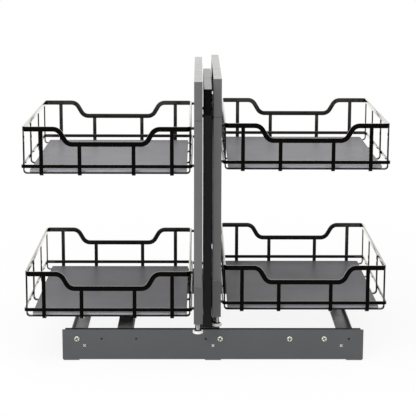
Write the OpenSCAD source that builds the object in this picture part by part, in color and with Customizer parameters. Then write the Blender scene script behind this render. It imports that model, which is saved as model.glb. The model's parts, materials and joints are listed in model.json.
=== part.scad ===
// Blind corner organizer: a base, a carriage that runs sideways on it,
// and two pull-out frames that carry two wire baskets each.
// Millimetres, +Z up, the viewer stands on the -Y side.
// The origin is the middle of the four floor screws, on the cabinet floor.

/* [Base] */
// length of the front and rear plates
base_len = 738; // [640:2:860]
// depth over the two plates
base_depth = 550; // [530:5:600]
// height of the plate tops above the cabinet floor
base_h = 78; // [74:1:84]
// sheet thickness of plates and floor bars
sheet = 2.5; // [2:0.1:3]
// width of each floor bar
bar_w = 39; // [34:1:50]
// height of the upright wall on the outer floor bars
bar_wall = 15; // [12:1:34]
// height of the low lips on the centre floor bar
bar_lip = 10; // [6:1:20]
// front-to-back distance between floor screws
floor_screw_pitch = 150; // [100:5:300]
// radius of a floor screw hole
floor_hole_r = 2.75; // [2:0.05:3.5]

/* [Slides] */
// height of a slide's outer member
slide_h = 45; // [43:1:47]
// depth of a slide's outer member
slide_d = 11.5; // [11:0.5:12.5]
// distance from the back of a slide to its mounting bar's face
slide_reach = 14; // [13.5:0.5:15]
// sheet thickness of the slide members
slide_t = 1.8; // [1.5:0.1:2]
// running gap between slide members
slide_gap = 0.3; // [0.25:0.05:0.5]
// distance from the post's side to the back of a pull-out slide
slide_stand = 3; // [2:0.5:4]
// radius of the bosses that hold a pull-out slide off the post
stand_r = 4; // [3:0.5:6]
// distance from a pull-out slide's ends to its bosses
stand_in = 20; // [15:1:40]
// height of the front boss above the slide's middle, and of the rear one below it
stand_lift = 14; // [0:1:16]
// clear height between a slide and the rear upright
slide_clear = 2; // [1:0.5:4]
// distance from the post's top down to the upper pull-out slides
slide_drop = 70; // [40:1:80]
// gap between a front upright and the front ends of the pull-out slides
slide_front_gap = 5; // [3:0.5:10]
// half height of the bar that reaches out of a lateral slide
rail_bar_half = 12; // [10:0.5:13]
// half height of the bar that reaches out of a pull-out slide
pull_bar_half = 10; // [8:0.5:12]
// distance from a plate's end to the lateral rail's end
rail_end_gap = 6; // [5:0.5:14]
// distance from the plate's top down to the lateral rail
rail_drop = 1; // [0.5:0.5:2]

/* [Carriage] */
// middle of the post, measured from the middle of the base
post_x = -14; // [-60:1:60]
// how far the runner reaches left of the post's middle
runner_left = 223; // [200:1:260]
// how far the runner reaches right of the post's middle
runner_right = 32; // [30:1:60]
// distance from the post's middle to the left crossbar's middle
crossbar_offset = 203; // [120:1:240]
// width of the left crossbar
crossbar_w = 36; // [30:1:50]
// width of the crossbar under the post
post_bar_w = 60; // [50:1:64]
// wall thickness of the crossbars
crossbar_t = 3; // [2:0.5:4]
// height of the crossbars
crossbar_h = 31; // [26:1:34]

/* [Post] */
// width of the post's tubes
post_w = 20; // [16:1:22]
// front-to-back length of a post upright
post_tube_d = 40; // [30:1:60]
// depth of the whole post frame
post_depth = 430; // [420:5:450]
// how far the post stands behind the front of a closed frame
post_set = 5; // [2:0.5:10]
// top of the post
post_top = 671; // [660:1:680]
// width of the cap at the post's top front corner
post_cap_w = 18; // [14:1:20]
// height of that cap
post_cap_h = 64; // [50:1:80]
// thickness of the foot plate
foot_plate_t = 4; // [3:0.5:5]
// length of a gusset beside the post's foot
gusset_len = 66; // [50:1:80]
// distance from the post's front to the front gussets
gusset_in = 36; // [34:1:40]
// width of a gusset at its foot
gusset_w = 9; // [6:0.5:12]
// height of a gusset above the base
gusset_h = 25; // [12:1:28]
// wall thickness of the post's tubes
tube_t = 2; // [1.5:0.5:3]
// length of the spigots that enter the tubes
spigot = 12; // [8:1:20]
// play of the spigots in the tubes, over the width
spigot_play = 0.4; // [0.2:0.1:0.6]

/* [Frames] */
// bottom of the pull-out frames
frame_bottom = 110; // [109:0.5:114]
// how far the pull-out frames stand above the post
frame_rise = 25.5; // [18:0.5:32]
// depth of a pull-out frame
frame_depth = 550; // [540:5:580]
// gap between a frame's front upright and the post
frame_gap = 3; // [2:0.5:5]
// how far the uprights reach past the ends of the baskets
upright_lap = 25; // [20:1:30]
// thickness of the beam webs and of the rear upright
web_t = 6; // [4:0.5:8]
// thickness of the beam flanges
flange_t = 6; // [4:0.5:8]
// height of a corner piece
corner_h = 92; // [70:1:110]
// how far a bottom corner piece is wider than the upright on its inner side
corner_grow = 1.5; // [0:0.5:1.5]
// how far the left frame stands pulled out
left_out = 57; // [0:1:120]

/* [Baskets] */
// width of the rim
basket_w = 403; // [300:1:460]
// distance from a frame's end to the end of the rim
basket_end_gap = 50; // [40:1:54]
// height from the lowest strip to the top of the rim
basket_h = 120; // [95:1:145]
// bottom of the lower baskets
lower_z = 106; // [103:1:113]
// bottom of the upper baskets
upper_z = 462; // [393:1:465]
// clear distance from a frame to the rim
basket_gap = 7.5; // [6:0.5:12]
// height of the rim bar
rim_h = 12; // [8:0.5:13]
// thickness of the rim bar
rim_t = 5; // [4:0.5:6]
// outer radius of the rim's corners
rim_r = 12; // [9:1:13]
// how deep the rim dips at the front and back
dip = 36.5; // [28:0.5:50]
// half length of the low part of the rim
dip_half = 81; // [75:0.5:95]
// bend radius of the dip along the middle of the bar
dip_r = 22; // [9:0.5:24]
// steepness of the dip's slope in degrees
dip_angle = 60; // [45:1:70]
// height of the band
band_h = 8.5; // [6:0.5:10]
// thickness of the band
band_t = 4; // [3:0.5:5]
// middle of the band above the basket's bottom
band_z = 23; // [18:0.5:34]
// width of the strips
strip_w = 9.5; // [6:0.5:10]
// thickness of the strips
strip_t = 3.5; // [2.5:0.5:4]
// outer bend radius of the strips
strip_r = 9; // [5:0.5:11]
// places of the inner front-to-back strips
strip_x_in = 64.5; // [50:0.5:70]
// distance from the rim's end to the outer front-to-back strips
strip_side_in = 45.5; // [35:0.5:60]
// places of the inner side-to-side strips
strip_y_in = 77; // [60:1:100]
// distance from the rim's front to the outer side-to-side strips
strip_end_in = 16; // [16:0.5:24]
// thickness of the floor panel
panel_t = 6; // [5:0.5:8]
// distance from the rim's outer end to the floor panel's end
panel_inset = 16; // [12:0.5:24]
// gap between the floor panel's inner end, at the frame, and the strips' bend
panel_play = 0.25; // [0:0.05:4]
// gap between the floor panel and the band, at the front and back
panel_gap = 6; // [1:0.5:12]

/* [Fixings and feet] */
// distance from the plate's middle to the nearest rail hole
middle_hole_x = 17.6; // [15:0.2:24]
// distance from the plate's end to the last rail hole
end_hole_in = 35.5; // [34:0.5:40]
// radius of a pan head
pan_r = 6.5; // [4:0.5:7]
// radius of a screw shank
shank_r = 2.4; // [2:0.1:2.6]
// radius of the holes for the screws
screw_hole_r = 2.6; // [2.6:0.1:3]
// height of the star fixings
star_z = 37.5; // [35:0.5:39.5]
// distance from the plate's end to a star fixing
star_inset = 54; // [48:1:58]
// radius of a star fixing's head
star_r = 4; // [3.5:0.1:4.5]
// length of a star fixing's cross recess
star_arm = 6; // [4:0.5:6]
// play round a fitted shank
fit_gap = 0.1; // [0.05:0.05:0.2]
// radius of a hanger stud
stud_r = 3.5; // [2.5:0.5:4]
// distance from the rim's front to the hanger studs
stud_in = 17; // [16:0.5:20]
// radius of the glide pads
pad_r = 12.5; // [10:0.5:12.5]
// height of the glide pads
pad_h = 8; // [7:0.5:14]
// gap between a pad and the foot plate it glides on
pad_gap = 0.5; // [0.5:0.5:3]
// distance from a frame's front to its foot
foot_inset = 20; // [18:1:26]
// radius of the foot's stem
stem_r = 5; // [4:0.5:6]
// gap between the stem and its bore
stem_gap = 0.3; // [0.25:0.05:0.5]
// length of the stem inside the corner piece
stem_in = 35; // [20:1:45]
// length of the stem inside the pad
stem_sunk = 5.5; // [4:0.5:6]

/* [Hidden] */
$fn = 64;

half_len = base_len / 2;
plate_in = base_depth / 2 - sheet;
rail_y = plate_in - sheet;
rail_z = base_h - rail_drop - slide_h / 2;
rail_len = base_len - 2 * rail_end_gap;
runner_face = rail_y - slide_reach;
bar_x = half_len - 2 - bar_w / 2;
tab_w = star_inset + 10;
tab_top = rail_z - 8.5;
stop_len = 8;
// rail holes: middle pair, then three pairs towards the ends
hole_places = [middle_hole_x, 0.51 * half_len, 0.74 * half_len, half_len - end_hole_in];
screw_places = [-hole_places[3], hole_places[0], hole_places[1], hole_places[2]];
boss_r = 7;
// a star fixing's cone ends half a millimetre before the plate's back
star_cone = sheet - 0.5;
left_bar_x = post_x - crossbar_offset;
bolt_places = [left_bar_x - crossbar_w / 4, left_bar_x + crossbar_w / 4,
  post_x - post_bar_w / 4, post_x + post_bar_w / 4];

// slide nesting: each inner member is one sheet and one gap smaller
step = slide_t + slide_gap;
half0 = slide_h / 2;

// what a spigot loses to the two walls of its tube
tube_walls = 2 * tube_t + spigot_play;
post_front = -frame_depth / 2 + post_set;
post_back = post_front + post_depth;
post_foot = base_h + foot_plate_t;
upper_slide_z = post_top - slide_drop - slide_h / 2;
lower_slide_z = frame_bottom + flange_t + 6.5 + slide_h / 2;
beam_top_h = slide_drop + slide_h;
beam_low = lower_slide_z - slide_h / 2 - 5;
beam_low_h = slide_h + 10;

// heights of the beam webs, two millimetres past the slides
top_web_h = post_top + frame_rise - flange_t - upper_slide_z + slide_h / 2 + 2;
low_web_h = lower_slide_z + slide_h / 2 + 2 - frame_bottom - flange_t;

// distances measured outwards from the post's middle plane
slide_u = post_w / 2 + slide_stand;
web_u = slide_u + slide_reach;
frame_out = web_u + web_t;
frame_in = post_w / 2 + frame_gap;
frame_w = frame_out - frame_in;
frame_front = -frame_depth / 2;
frame_top = post_top + frame_rise;
upright_d = basket_end_gap + upright_lap;
upright_back = frame_front + upright_d;
rear_upright_front = frame_depth / 2 - upright_d;
slide_back = post_back;
panel_inner = rim_t / 2 - strip_t / 2 + strip_r + panel_play;
slide_len = slide_back - upright_back - slide_front_gap;
foot_u = (frame_in + frame_out) / 2;
foot_y = frame_front + foot_inset;
pad_z = base_h + foot_plate_t + pad_gap;

basket_d = frame_depth - 2 * basket_end_gap;
basket_u = frame_out + basket_gap + basket_w / 2;
strip_x_out = basket_w / 2 - strip_side_in;
strip_y_out = basket_d / 2 - strip_end_in;
stud_y = basket_d / 2 - stud_in;
rim_z = basket_h - rim_h / 2;
rim_low = basket_h - rim_h;
end_x = basket_w / 2 - rim_t / 2;
front_y = basket_d / 2 - rim_t / 2;
strip_x_half = end_x + strip_t / 2;
strip_y_half = front_y + strip_t / 2;
band_x = strip_x_half + band_t;
band_y = front_y - strip_t / 2;
slope_sin = sin(dip_angle);
slope_cos = cos(dip_angle);
slope_len = (dip - 2 * dip_r * (1 - slope_cos)) / slope_sin;
dip_out = dip_half + 2 * dip_r * slope_sin + slope_len * slope_cos;

base_grey = [0.30, 0.31, 0.32];
frame_grey = [0.42, 0.42, 0.42];
post_black = [0.06, 0.06, 0.06];
slide_black = [0.10, 0.10, 0.11];
nickel = [0.14, 0.14, 0.15];
panel_grey = [0.50, 0.51, 0.52];
zinc = [0.75, 0.76, 0.76];
white = [0.95, 0.95, 0.94];
rubber = [0.05, 0.05, 0.05];

// rounded rectangle about the origin
module rrect(w, d, r) {
  square([w - 2 * r, d], center = true);
  square([w, d - 2 * r], center = true);
  for (x = [-1, 1], y = [-1, 1])
    translate([x * (w / 2 - r), y * (d / 2 - r)])
      circle(r);
}

// hollow section standing on the origin
module tube(w, d, h, t) {
  linear_extrude(h)
    difference() {
      rrect(w, d, 1.5);
      square([w - 2 * t, d - 2 * t], center = true);
    }
}

// cylinder along +Y
module rod_y(r, h) {
  rotate([-90, 0, 0])
    cylinder(r = r, h = h);
}

// cylinder along +X
module rod_x(r, h) {
  rotate([0, 90, 0])
    cylinder(r = r, h = h);
}

// C section of slide member number n, with lips when lip is 1
module member(n, lip) {
  back = n * step;
  half = half0 - n * step;
  reach = slide_d - n * step;
  mouth = half - slide_t - lip * step;
  difference() {
    translate([back, -half])
      square([reach - back, 2 * half]);
    translate([back + slide_t, slide_t - half])
      square([reach - back - (1 + lip) * slide_t, 2 * half - 2 * slide_t]);
    translate([back + slide_t, -mouth])
      square([reach - back, 2 * mouth]);
  }
}

// innermost member number n with the bar that reaches out of the slide
module runner_section(n, bar) {
  member(n, 0);
  translate([n * step, -bar])
    square([slide_reach - n * step, 2 * bar]);
}

// section drawn in the Y-Z plane and drawn out along X
module along_x(from, to) {
  translate([from, 0, 0])
    rotate([90, 0, 90])
      linear_extrude(to - from)
        children();
}

// section drawn in the X-Z plane and drawn out along Y
module along_y(from, to) {
  translate([0, to, 0])
    rotate([90, 0, 0])
      linear_extrude(to - from)
        children();
}

// puts a piece drawn for the right side on either side of the post
module on_side(side, out) {
  translate([post_x, -out, 0])
    mirror([side < 0 ? 1 : 0, 0, 0])
      children();
}

// base plate, drawn for the front
module plate() {
  difference() {
    translate([-half_len, -base_depth / 2, sheet])
      cube([base_len, sheet, base_h - sheet]);
    for (p = hole_places, s = [-1, 1])
      translate([s * p, -base_depth / 2 - 1, rail_z])
        rod_y(screw_hole_r, sheet + 2);
    for (x = [-half_len + star_inset, 0, half_len - star_inset])
      translate([x, -base_depth / 2, star_z])
        rotate([-90, 0, 0]) {
          translate([0, 0, -star_cone])
            cylinder(r1 = 2 * star_r - shank_r + fit_gap, r2 = shank_r + fit_gap, h = 2 * star_cone);
          cylinder(r = shank_r + fit_gap, h = sheet + 1);
        }
  }
}

module base_front_plate() {
  color(base_grey)
    plate();
}

module base_rear_plate() {
  color(base_grey)
    mirror([0, 1, 0])
      plate();
}

// tab that stands behind a plate at the end of a floor bar
module bar_tab(from, width, x_star) {
  difference() {
    translate([from, -plate_in, sheet])
      cube([width, sheet, tab_top - sheet]);
    translate([x_star, -plate_in - 1, star_z])
      rod_y(shank_r + fit_gap, sheet + 2);
  }
}

// outer floor bar, drawn for the left side
module outer_bar() {
  difference() {
    translate([-bar_x - bar_w / 2, -base_depth / 2, 0])
      cube([bar_w, base_depth, sheet]);
    for (s = [-1, 1])
      translate([-bar_x, s * floor_screw_pitch / 2, -1])
        cylinder(r = floor_hole_r, h = sheet + 2);
  }
  translate([-bar_x - bar_w / 2, -rail_y, sheet])
    cube([sheet, 2 * rail_y, bar_wall - sheet]);
  for (m = [0, 1])
    mirror([0, m, 0])
      bar_tab(-bar_x - bar_w / 2, tab_w, -half_len + star_inset);
}

module base_left_bar() {
  color(base_grey)
    outer_bar();
}

module base_right_bar() {
  color(base_grey)
    mirror([1, 0, 0])
      outer_bar();
}

module base_centre_bar() {
  color(base_grey) {
    translate([-bar_w / 2, -base_depth / 2, 0])
      cube([bar_w, base_depth, sheet]);
    for (x = [-bar_w / 2, bar_w / 2 - sheet])
      translate([x, -rail_y, sheet])
        cube([sheet, 2 * rail_y, bar_lip - sheet]);
    for (m = [0, 1])
      mirror([0, m, 0])
        bar_tab(-bar_w / 2, bar_w, 0);
  }
}

// lateral rail, drawn for the front; it is bored only where a screw goes in
module rail() {
  difference() {
    union() {
      translate([0, -rail_y, rail_z])
        along_x(-rail_len / 2, rail_len / 2)
          member(0, 1);
      for (p = hole_places, s = [-1, 1])
        translate([s * p, -plate_in, rail_z])
          rod_y(boss_r, sheet);
    }
    for (x = screw_places)
      translate([x, -plate_in - 1, rail_z])
        rod_y(screw_hole_r, sheet + slide_t + 2);
  }
}

module front_rail() {
  color(slide_black)
    rail();
}

module rear_rail() {
  color(slide_black)
    mirror([0, 1, 0])
      rail();
}

// pan-head screw along +Y, the head's underside on the origin
module pan_screw(len) {
  difference() {
    union() {
      rotate([90, 0, 0]) {
        cylinder(r = pan_r, h = 1.4);
        translate([0, 0, 1.4])
          cylinder(r1 = pan_r, r2 = pan_r - 2, h = 1.4);
      }
      rod_y(shank_r, len);
    }
    for (a = [0, 90])
      translate([0, -2.8, 0])
        rotate([0, a, 0])
          cube([pan_r, 3, 1.2], center = true);
  }
}

module rail_screws() {
  color(zinc)
    for (m = [0, 1])
      mirror([0, m, 0])
        for (x = screw_places)
          translate([x, -base_depth / 2, rail_z])
            pan_screw(2 * sheet + slide_t);
}

module star_fixings() {
  color(zinc)
    for (m = [0, 1])
      mirror([0, m, 0])
        for (x = [-half_len + star_inset, 0, half_len - star_inset])
          translate([x, -base_depth / 2, star_z])
            difference() {
              rotate([-90, 0, 0]) {
                cylinder(r1 = star_r, r2 = shank_r, h = star_cone);
                cylinder(r = shank_r, h = 2 * sheet);
              }
              for (a = [45, 135])
                rotate([0, a, 0])
                  cube([star_arm, 2, 0.9], center = true);
            }
}

module rail_stops() {
  color(rubber)
    for (m = [0, 1], s = [-1, 1])
      mirror([0, m, 0])
        translate([s * (rail_len - stop_len) / 2, -rail_y + slide_d / 2, rail_z])
          cube([stop_len, slide_d - 2 * slide_t, slide_h - 2 * slide_t], center = true);
}

// lateral runner, drawn for the front
module runner() {
  difference() {
    translate([0, -rail_y, rail_z])
      along_x(post_x - runner_left, post_x + runner_right)
        runner_section(1, rail_bar_half);
    for (x = bolt_places)
      translate([x, -runner_face - 8, rail_z])
        rod_y(screw_hole_r, 9);
  }
}

module front_runner() {
  color(slide_black)
    runner();
}

module rear_runner() {
  color(slide_black)
    mirror([0, 1, 0])
      runner();
}

// open-bottomed box bar between the two runners
module crossbar(x, w) {
  difference() {
    translate([x - w / 2, -runner_face, base_h - crossbar_h])
      cube([w, 2 * runner_face, crossbar_h]);
    translate([x - w / 2 + crossbar_t, -runner_face + crossbar_t, base_h - crossbar_h - 1])
      cube([w - 2 * crossbar_t, 2 * runner_face - 2 * crossbar_t, crossbar_h - crossbar_t + 1]);
    for (m = [0, 1])
      mirror([0, m, 0])
        for (b = bolt_places)
          translate([b, -runner_face - 1, rail_z])
            rod_y(screw_hole_r, crossbar_t + 2);
  }
}

module left_crossbar() {
  color(post_black)
    crossbar(left_bar_x, crossbar_w);
}

module post_crossbar() {
  color(post_black)
    crossbar(post_x, post_bar_w);
}

module carriage_bolts() {
  color(zinc)
    for (m = [0, 1])
      mirror([0, m, 0])
        for (x = bolt_places)
          translate([x, -runner_face + crossbar_t, rail_z]) {
            rod_y(4.5, 3);
            translate([0, -crossbar_t - 7, 0])
              rod_y(shank_r, crossbar_t + 7);
          }
}

module post_front_upright() {
  color(post_black)
    translate([post_x, post_front + post_tube_d / 2, post_foot])
      tube(post_w, post_tube_d, post_top - post_cap_h - post_foot, tube_t);
}

module post_rear_upright() {
  color(post_black)
    translate([post_x, post_back - post_tube_d / 2, post_foot])
      tube(post_w, post_tube_d, post_top - post_foot, tube_t);
  // the tube's top is closed
  color(post_black)
    translate([post_x, post_back - post_tube_d / 2, post_top - tube_t / 2])
      cube([post_w - 2 * tube_t, post_tube_d - 2 * tube_t, tube_t], center = true);
}

// hollow beam between the two post uprights
module post_beam(z, h) {
  difference() {
    translate([post_x - post_w / 2, post_front + post_tube_d, z])
      cube([post_w, post_depth - 2 * post_tube_d, h]);
    translate([post_x - post_w / 2 + tube_t, post_front + post_tube_d - 1, z + tube_t])
      cube([post_w - 2 * tube_t, post_depth - 2 * post_tube_d + 2, h - 2 * tube_t]);
  }
}

module post_top_beam() {
  color(post_black)
    post_beam(post_top - beam_top_h - 2, beam_top_h + 2);
}

module post_bottom_beam() {
  color(post_black)
    post_beam(beam_low, beam_low_h);
}

module post_cap() {
  color(post_black)
    translate([post_x, post_front + post_tube_d / 2, 0]) {
      translate([0, 0, post_top - post_cap_h])
        linear_extrude(post_cap_h)
          rrect(post_cap_w, post_tube_d, 2);
      translate([0, 0, post_top - post_cap_h - spigot])
        linear_extrude(spigot)
          square([post_w - tube_walls, post_tube_d - tube_walls], center = true);
    }
}

module post_foot_bracket() {
  color(post_black)
    translate([post_x, 0, base_h]) {
      translate([-post_w / 2, post_front, 0])
        cube([post_w, post_depth, foot_plate_t]);
      translate([-post_bar_w / 2, post_front, 0])
        cube([post_bar_w, gusset_in + gusset_len, foot_plate_t]);
      translate([-post_bar_w / 2, post_back - gusset_len, 0])
        cube([post_bar_w, gusset_len, foot_plate_t]);
      for (m = [0, 1], y = [post_front + gusset_in, post_back - gusset_len])
        mirror([m, 0, 0])
          along_y(y, y + gusset_len)
            polygon([[post_w / 2, 0], [post_w / 2 + gusset_w, 0], [post_w / 2, gusset_h]]);
    }
}

// both slide members number n of one side, drawn for the right
module slide_pair(n) {
  // the inner member goes on to the back of the frame
  back = n < 2 ? slide_back : rear_upright_front + upright_d;
  for (z = [upper_slide_z, lower_slide_z])
    translate([slide_u, 0, z])
      along_y(slide_back - slide_len, back)
        if (n < 2)
          member(n, 1);
        else
          runner_section(n, pull_bar_half);
}

// bosses between the post and the two slides of one side, drawn for the right
module slide_stands() {
  slide_front = slide_back - slide_len;
  for (z = [upper_slide_z, lower_slide_z])
    for (at = [[slide_front + stand_in, stand_lift], [slide_back - stand_in, -stand_lift]])
      translate([post_w / 2, at[0], z + at[1]])
        rod_x(stand_r, slide_stand);
}

module left_slide_outers() {
  color(slide_black)
    on_side(-1, 0) {
      slide_pair(0);
      slide_stands();
    }
}

module right_slide_outers() {
  color(slide_black)
    on_side(1, 0) {
      slide_pair(0);
      slide_stands();
    }
}

module left_slide_middles() {
  color(slide_black)
    on_side(-1, left_out / 2)
      slide_pair(1);
}

module right_slide_middles() {
  color(slide_black)
    on_side(1, 0)
      slide_pair(1);
}

module left_slide_inners() {
  color(slide_black)
    on_side(-1, left_out)
      slide_pair(2);
}

module right_slide_inners() {
  color(slide_black)
    on_side(1, 0)
      slide_pair(2);
}

// the frame's pieces, all drawn for the right side
module front_upright() {
  translate([foot_u, frame_front + upright_d / 2, frame_bottom + corner_h])
    tube(frame_w, upright_d, frame_top - frame_bottom - 2 * corner_h, tube_t);
}

module rear_upright() {
  translate([web_u, rear_upright_front, frame_bottom + flange_t])
    cube([web_t, upright_d, frame_top - frame_bottom - 2 * flange_t]);
  // box parts that reach to the inner side between and above the slides
  low = lower_slide_z + slide_h / 2 + slide_clear;
  high = upper_slide_z - slide_h / 2 - slide_clear;
  above = upper_slide_z + slide_h / 2 + slide_clear;
  translate([frame_in, rear_upright_front, low])
    rear_box(high - low);
  translate([frame_in, rear_upright_front, above])
    rear_box(frame_top - flange_t - above);
}

// open box section of the rear upright, its mouth towards the back
module rear_box(h) {
  difference() {
    cube([frame_w, upright_d, h]);
    translate([tube_t, tube_t, -1])
      cube([frame_w - web_t - tube_t, upright_d, h + 2]);
  }
}

module top_beam() {
  translate([frame_in, upright_back, frame_top - flange_t])
    cube([frame_w, frame_depth - upright_d, flange_t]);
  translate([web_u, upright_back, upper_slide_z - slide_h / 2 - 2])
    cube([web_t, frame_depth - 2 * upright_d, top_web_h]);
}

module bottom_beam() {
  translate([frame_in, upright_back, frame_bottom])
    cube([frame_w, frame_depth - upright_d, flange_t]);
  translate([web_u, upright_back, frame_bottom + flange_t])
    cube([web_t, frame_depth - 2 * upright_d, low_web_h]);
}

// corner block, wider on its inner side by grow, with a spigot that enters the upright's tube
module corner_block(z, spigot_z, grow) {
  translate([foot_u - grow / 2, frame_front + upright_d / 2, z])
    linear_extrude(corner_h)
      rrect(frame_w + grow, upright_d, 1.5);
  translate([foot_u, frame_front + upright_d / 2, spigot_z])
    linear_extrude(spigot)
      square([frame_w - tube_walls, upright_d - tube_walls], center = true);
}

module top_corner() {
  corner_block(frame_top - corner_h, frame_top - corner_h - spigot, 0);
}

module bottom_corner() {
  difference() {
    corner_block(frame_bottom, frame_bottom + corner_h, corner_grow);
    translate([foot_u, foot_y, frame_bottom - 1])
      cylinder(r = stem_r + stem_gap, h = stem_in + 6);
  }
}

module foot_stem() {
  translate([foot_u, foot_y, pad_z + pad_h - stem_sunk])
    cylinder(r = stem_r, h = frame_bottom + stem_in - pad_z - pad_h + stem_sunk);
}

module foot_pad() {
  translate([foot_u, foot_y, pad_z])
    difference() {
      union() {
        cylinder(r1 = pad_r - 1, r2 = pad_r, h = 1);
        translate([0, 0, 1])
          cylinder(r = pad_r, h = pad_h - 4);
        translate([0, 0, pad_h - 3])
          cylinder(r1 = pad_r, r2 = pad_r - 3, h = 3);
      }
      translate([0, 0, pad_h - stem_sunk])
        cylinder(r = stem_r + fit_gap, h = stem_sunk + 1);
    }
}

module studs() {
  for (z = [lower_z, upper_z], s = [-1, 1]) {
    translate([frame_out, s * stud_y, z + rim_z])
      rod_x(stud_r, basket_gap);
    translate([frame_out, s * stud_y, z + band_z])
      rod_x(stud_r, basket_u - band_x - frame_out);
  }
}

// bend from level into the dip's slope, seen from the front
module dip_bend() {
  far = 4 * dip_r;
  intersection() {
    difference() {
      circle(dip_r + rim_h / 2);
      circle(dip_r - rim_h / 2);
    }
    polygon([[0, 0], [0, far], [far * slope_sin, far * slope_cos]]);
  }
}

// left half of the front rim bar, seen from the front
module rim_half() {
  start = basket_w / 2 - rim_r;
  translate([-start, rim_z - rim_h / 2])
    square([start - dip_out, rim_h]);
  translate([-dip_out, rim_z - dip_r])
    dip_bend();
  translate([-dip_out + dip_r * slope_sin, rim_z - dip_r * (1 - slope_cos)])
    rotate(-dip_angle)
      translate([0, -rim_h / 2])
        square([slope_len, rim_h]);
  translate([-dip_half, rim_z - dip + dip_r])
    rotate(180)
      dip_bend();
  translate([-dip_half, rim_z - dip - rim_h / 2])
    square([dip_half, rim_h]);
}

module rim() {
  for (mx = [0, 1], my = [0, 1])
    mirror([mx, 0, 0])
      mirror([0, my, 0]) {
        along_y(-basket_d / 2, -basket_d / 2 + rim_t)
          rim_half();
        translate([-basket_w / 2 + rim_r, -basket_d / 2 + rim_r, rim_low])
          rotate([0, 0, 180])
            rotate_extrude(angle = 90)
              translate([rim_r - rim_t, 0])
                square([rim_t, rim_h]);
      }
  for (s = [-1, 1])
    translate([s * end_x, 0, rim_z])
      cube([rim_t, basket_d - 2 * rim_r, rim_h], center = true);
}

// U-shaped strip along X: outer half span, height of the two ends
module u_strip(half, high) {
  translate([-half + strip_r, -strip_w / 2, 0])
    cube([2 * half - 2 * strip_r, strip_w, strip_t]);
  for (m = [0, 1])
    mirror([m, 0, 0]) {
      translate([half - strip_t, -strip_w / 2, strip_r])
        cube([strip_t, strip_w, high - strip_r]);
      translate([half - strip_r, 0, strip_r])
        rotate([90, 0, 0])
          rotate([0, 0, 270])
            rotate_extrude(angle = 90)
              translate([strip_r - strip_t, -strip_w / 2])
                square([strip_t, strip_w]);
    }
}

// one wire basket about its own middle, standing on z = 0
module basket() {
  rim();
  translate([0, 0, band_z - band_h / 2])
    linear_extrude(band_h)
      difference() {
        rrect(2 * band_x, 2 * band_y, 6);
        rrect(2 * band_x - 2 * band_t, 2 * band_y - 2 * band_t, 6 - band_t);
      }
  for (s = [-1, 1]) {
    translate([s * strip_x_in, 0, 0])
      rotate([0, 0, 90])
        u_strip(strip_y_half, rim_low - dip);
    translate([s * strip_x_out, 0, 0])
      rotate([0, 0, 90])
        u_strip(strip_y_half, rim_low);
    translate([0, s * strip_y_in, strip_t])
      u_strip(strip_x_half, rim_low - strip_t);
    translate([0, s * strip_y_out, strip_t])
      u_strip(strip_x_half, rim_low - strip_t);
  }
}

module panel() {
  translate([(panel_inner - panel_inset) / 2, 0, 2 * strip_t])
    linear_extrude(panel_t)
      rrect(basket_w - panel_inset - panel_inner, 2 * (band_y - band_t - panel_gap), 4);
}

// carries a basket piece to its height, drawn for the right side
module at_basket(z) {
  translate([basket_u, 0, z])
    children();
}

module left_front_upright() {
  color(frame_grey)
    on_side(-1, left_out)
      front_upright();
}

module left_rear_upright() {
  color(frame_grey)
    on_side(-1, left_out)
      rear_upright();
}

module left_top_beam() {
  color(frame_grey)
    on_side(-1, left_out)
      top_beam();
}

module left_bottom_beam() {
  color(frame_grey)
    on_side(-1, left_out)
      bottom_beam();
}

module left_top_corner() {
  color(frame_grey)
    on_side(-1, left_out)
      top_corner();
}

module left_bottom_corner() {
  color(frame_grey)
    on_side(-1, left_out)
      bottom_corner();
}

module left_upper_basket() {
  color(nickel)
    on_side(-1, left_out)
      at_basket(upper_z)
        basket();
}

module left_lower_basket() {
  color(nickel)
    on_side(-1, left_out)
      at_basket(lower_z)
        basket();
}

module left_upper_panel() {
  color(panel_grey)
    on_side(-1, left_out)
      at_basket(upper_z)
        panel();
}

module left_lower_panel() {
  color(panel_grey)
    on_side(-1, left_out)
      at_basket(lower_z)
        panel();
}

module left_studs() {
  color(post_black)
    on_side(-1, left_out)
      studs();
}

module left_foot_stem() {
  color(zinc)
    on_side(-1, left_out)
      foot_stem();
}

module left_foot_pad() {
  color(white)
    on_side(-1, left_out)
      foot_pad();
}

module right_front_upright() {
  color(frame_grey)
    on_side(1, 0)
      front_upright();
}

module right_rear_upright() {
  color(frame_grey)
    on_side(1, 0)
      rear_upright();
}

module right_top_beam() {
  color(frame_grey)
    on_side(1, 0)
      top_beam();
}

module right_bottom_beam() {
  color(frame_grey)
    on_side(1, 0)
      bottom_beam();
}

module right_top_corner() {
  color(frame_grey)
    on_side(1, 0)
      top_corner();
}

module right_bottom_corner() {
  color(frame_grey)
    on_side(1, 0)
      bottom_corner();
}

module right_upper_basket() {
  color(nickel)
    on_side(1, 0)
      at_basket(upper_z)
        basket();
}

module right_lower_basket() {
  color(nickel)
    on_side(1, 0)
      at_basket(lower_z)
        basket();
}

module right_upper_panel() {
  color(panel_grey)
    on_side(1, 0)
      at_basket(upper_z)
        panel();
}

module right_lower_panel() {
  color(panel_grey)
    on_side(1, 0)
      at_basket(lower_z)
        panel();
}

module right_studs() {
  color(post_black)
    on_side(1, 0)
      studs();
}

module right_foot_stem() {
  color(zinc)
    on_side(1, 0)
      foot_stem();
}

module right_foot_pad() {
  color(white)
    on_side(1, 0)
      foot_pad();
}

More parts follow.
